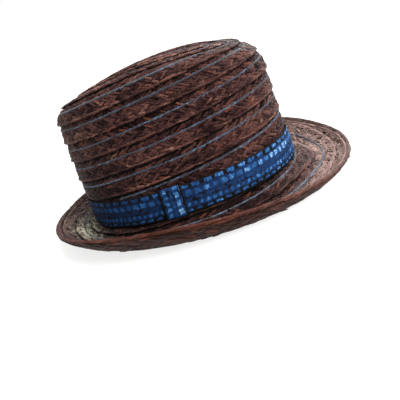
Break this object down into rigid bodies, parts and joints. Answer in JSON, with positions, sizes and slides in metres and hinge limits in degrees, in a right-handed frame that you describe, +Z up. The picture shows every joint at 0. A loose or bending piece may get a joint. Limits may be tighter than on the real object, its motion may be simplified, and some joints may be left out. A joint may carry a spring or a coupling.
{
  "type": "straw fedora",
  "caption": "Stingy-brim straw fedora sewn from raffia braid in rows, with a low domed crown, a brim curled up at the sides and back, and a cloth hat band with its keeper loop.",
  "frame": {"origin": "middle of the hat's footprint, on the surface that the brim rests on", "axes": "+X to the front of the hat, +Y to the wearer's left, +Z up from the surface that it rests on"},
  "size_m": [0.2916, 0.2805, 0.1385],
  "materials": {
    "raffia_braid": "dyed dark brown raffia braid, dull with soft highlights on the strands",
    "indigo_cloth": "resist-dyed indigo cotton in a light and dark grid, matte"
  },
  "bodies": {
    "root": {"crown": "raffia_braid", "brim": "raffia_braid", "hat_band": "indigo_cloth", "band_loop": "indigo_cloth"}
  },
  "joints": []
}
